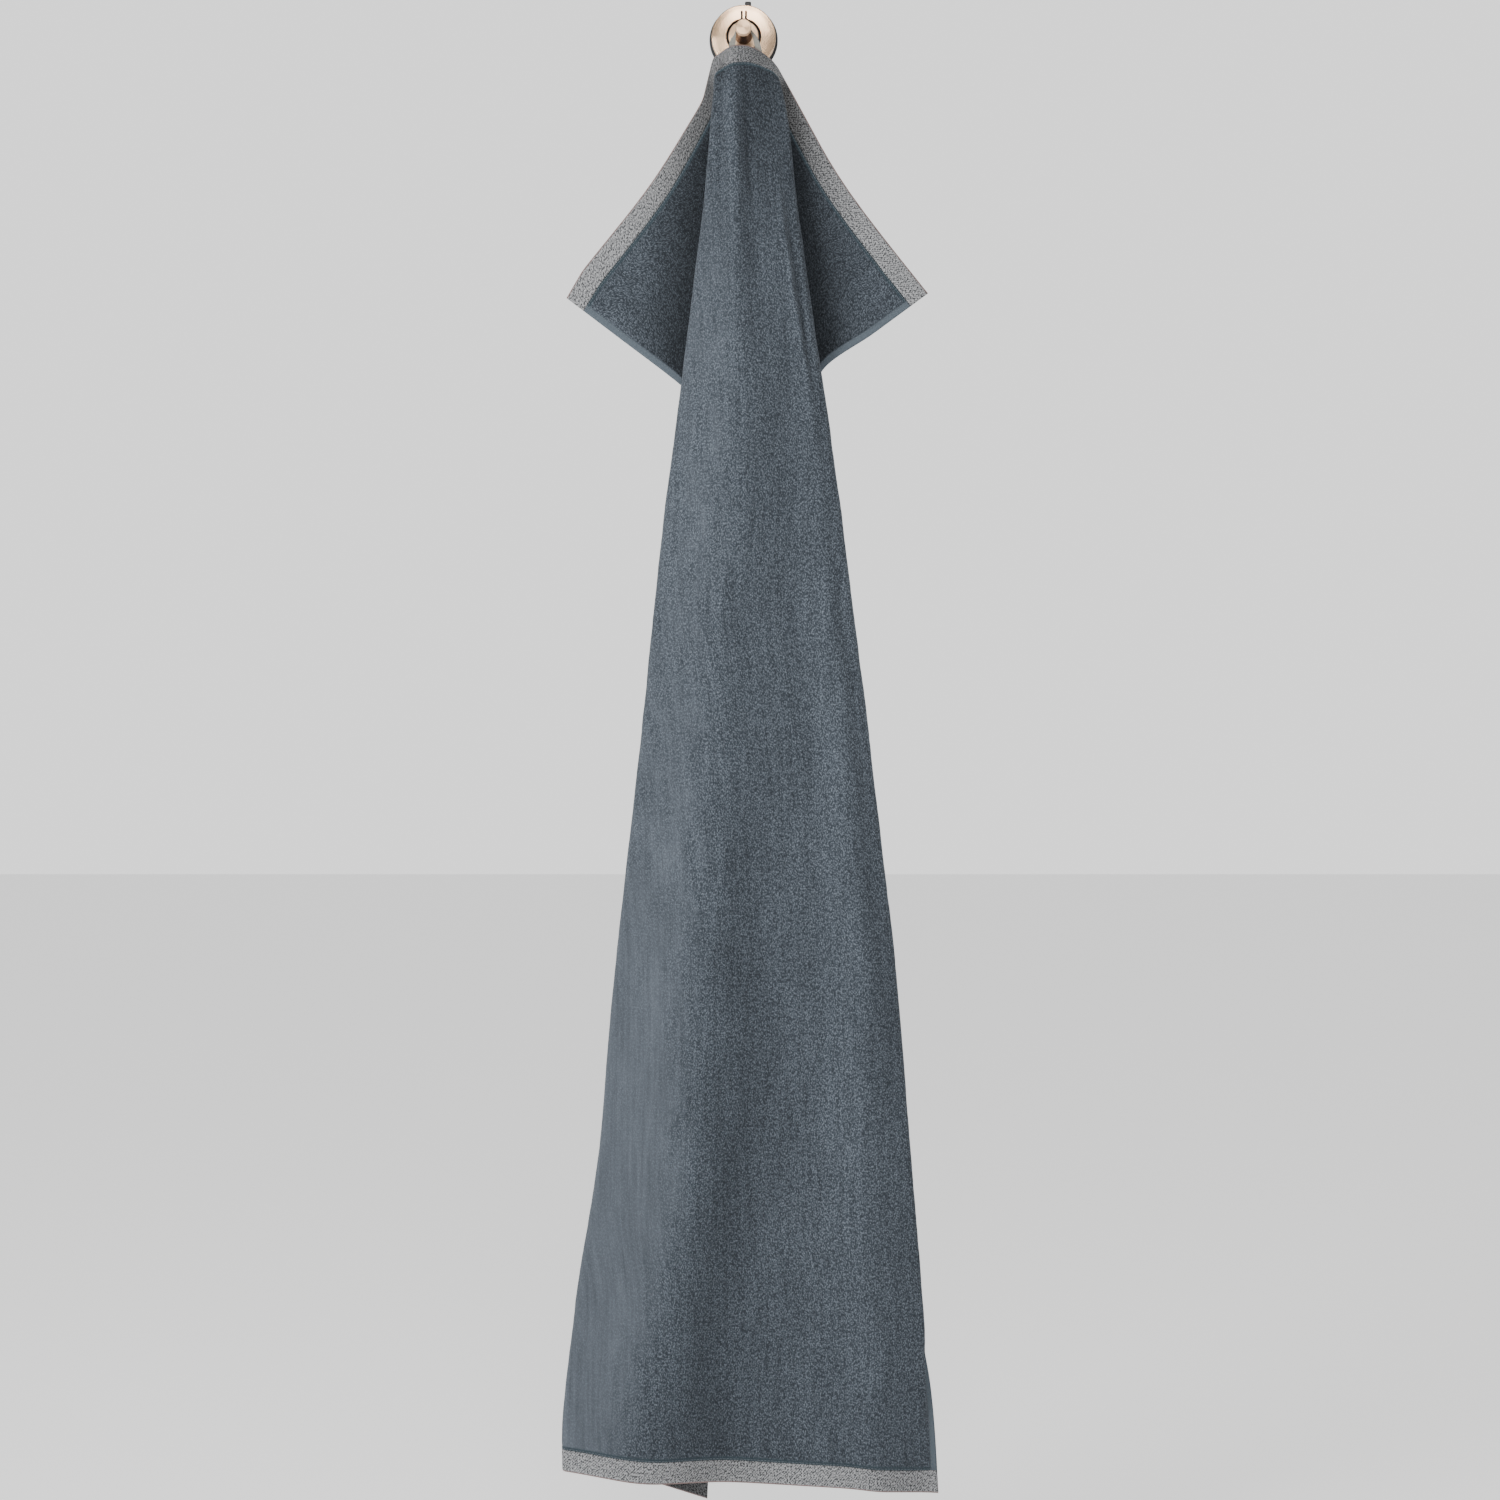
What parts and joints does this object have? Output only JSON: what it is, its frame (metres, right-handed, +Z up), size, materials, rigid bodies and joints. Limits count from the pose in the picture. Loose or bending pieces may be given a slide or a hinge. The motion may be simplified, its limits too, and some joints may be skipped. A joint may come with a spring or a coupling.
{
  "type": "bath towel on wall hook",
  "caption": "Terry bath towel hanging by its tape loop from a round metal wall hook, upper corners spread as wings beside a long body with soft vertical folds.",
  "frame": {"origin": "centre of the hook pad's flat back, on the wall", "axes": "+Y into the wall, +Z up, +X to the right as seen by someone who faces the wall"},
  "size_m": [0.3721, 0.0783, 1.4999],
  "materials": {
    "terry": "matt slate blue terry",
    "melange_band": "flat weave, grey melange",
    "loop_tape": "woven tape, light grey",
    "brushed_metal": "brushed, warm nickel",
    "pad_rubber": "matt black"
  },
  "bodies": {
    "root": {"towel_panel": "terry", "end_band_top": "melange_band", "end_band_bottom": "melange_band", "hanging_loop": "loop_tape", "hook_cover": "brushed_metal", "hook_hub": "brushed_metal", "hook_peg": "brushed_metal", "hook_pad": "pad_rubber"}
  },
  "joints": []
}
